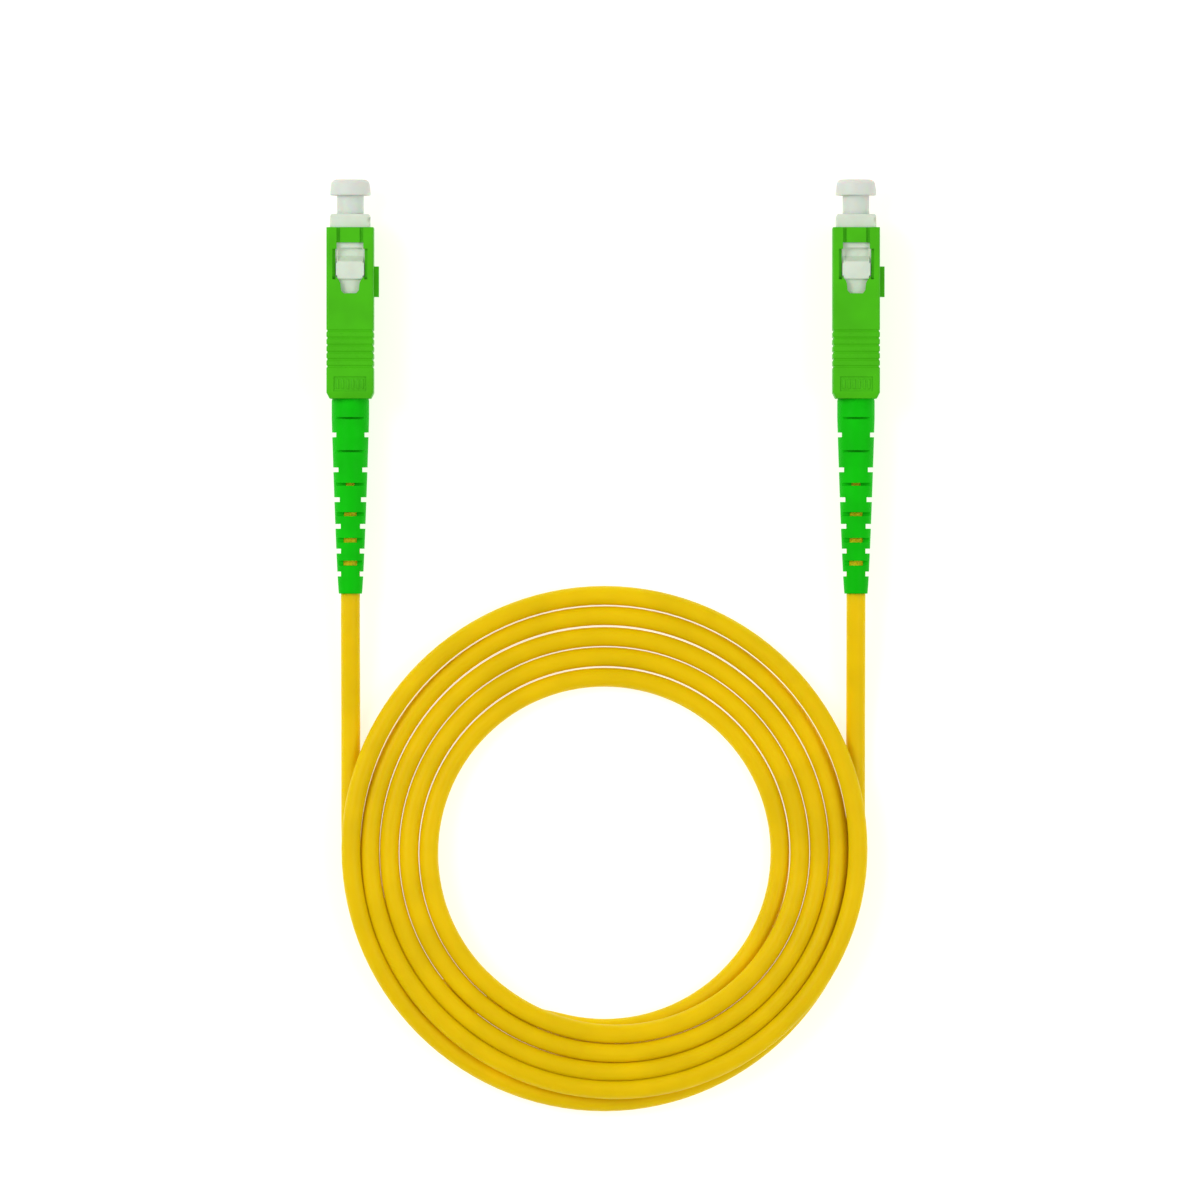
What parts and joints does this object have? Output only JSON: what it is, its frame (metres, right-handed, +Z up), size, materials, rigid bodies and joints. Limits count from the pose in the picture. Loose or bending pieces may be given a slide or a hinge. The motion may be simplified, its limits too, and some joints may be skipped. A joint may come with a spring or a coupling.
{
  "type": "fibre optic patch cord",
  "caption": "Yellow fibre optic patch cord in a flat round coil, with a green square push-pull plug, slotted boot and white dust cap on each end.",
  "frame": {"origin": "bottom centre of the two plugs' bounding box, on the surface that the cord lies on", "axes": "+Y along both plugs towards their mating ends, +X across the two plugs from plug a to plug b, on the side of their keys, +Z up"},
  "size_m": [0.0878, 0.1466, 0.009],
  "materials": {
    "cap_plastic": "translucent white moulded plastic, slightly cloudy",
    "zirconia": "polished white zirconia ceramic",
    "flange_metal": "fine turned metal",
    "glass_fibre": "clear coated glass fibre",
    "spring_steel": "drawn spring wire",
    "guide_plastic": "smooth white tube",
    "frame_plastic": "natural white moulded plastic, fine matte",
    "rear_body_metal": "nickel-plated, knurled tail",
    "crimp_metal": "crimped tube, dull",
    "housing_plastic": "green moulded plastic, fine matte grain with satin sheen",
    "boot_rubber": "saturated green soft moulded elastomer, satin",
    "cord_jacket": "yellow extruded cable jacket, satin",
    "aramid": "loose yellow strength yarn",
    "buffer_plastic": "smooth white tight buffer"
  },
  "bodies": {
    "root": {"plug_frame_a": "frame_plastic", "rear_body_a": "rear_body_metal", "ferrule_spring_a": "spring_steel", "guide_tube_a": "guide_plastic", "crimp_sleeve_a": "crimp_metal", "boot_a": "boot_rubber", "cord_jacket_a": "cord_jacket", "aramid_yarn_a": "aramid", "tight_buffer_a": "buffer_plastic", "plug_frame_b": "frame_plastic", "rear_body_b": "rear_body_metal", "ferrule_spring_b": "spring_steel", "guide_tube_b": "guide_plastic", "crimp_sleeve_b": "crimp_metal", "boot_b": "boot_rubber", "cord_jacket_b": "cord_jacket", "aramid_yarn_b": "aramid", "tight_buffer_b": "buffer_plastic", "cord_lead_a": "cord_jacket", "cord_coil": "cord_jacket", "cord_lead_b": "cord_jacket"},
    "housing_a": {"outer_housing_a": "housing_plastic"},
    "ferrule_unit_a": {"ferrule_a": "zirconia", "ferrule_flange_a": "flange_metal", "fibre_a": "glass_fibre"},
    "cap_a": {"dust_cap_a": "cap_plastic"},
    "housing_b": {"outer_housing_b": "housing_plastic"},
    "ferrule_unit_b": {"ferrule_b": "zirconia", "ferrule_flange_b": "flange_metal", "fibre_b": "glass_fibre"},
    "cap_b": {"dust_cap_b": "cap_plastic"}
  },
  "joints": [
    {"name": "housing_a_slide", "type": "slide", "parent": "root", "child": "housing_a", "axis": [0, -1, 0], "range_m": [0, 0.002]},
    {"name": "ferrule_a_float", "type": "slide", "parent": "root", "child": "ferrule_unit_a", "axis": [0, -1, 0], "range_m": [0, 0.001], "stiffness_N_per_m": 4000, "deforming": ["ferrule_spring_a", "tight_buffer_a"]},
    {"name": "cap_a_slide", "type": "slide", "parent": "ferrule_unit_a", "child": "cap_a", "axis": [0, 1, 0], "range_m": [0, 0.02]},
    {"name": "housing_b_slide", "type": "slide", "parent": "root", "child": "housing_b", "axis": [0, -1, 0], "range_m": [0, 0.002]},
    {"name": "ferrule_b_float", "type": "slide", "parent": "root", "child": "ferrule_unit_b", "axis": [0, -1, 0], "range_m": [0, 0.001], "stiffness_N_per_m": 4000, "deforming": ["ferrule_spring_b", "tight_buffer_b"]},
    {"name": "cap_b_slide", "type": "slide", "parent": "ferrule_unit_b", "child": "cap_b", "axis": [0, 1, 0], "range_m": [0, 0.02]}
  ]
}
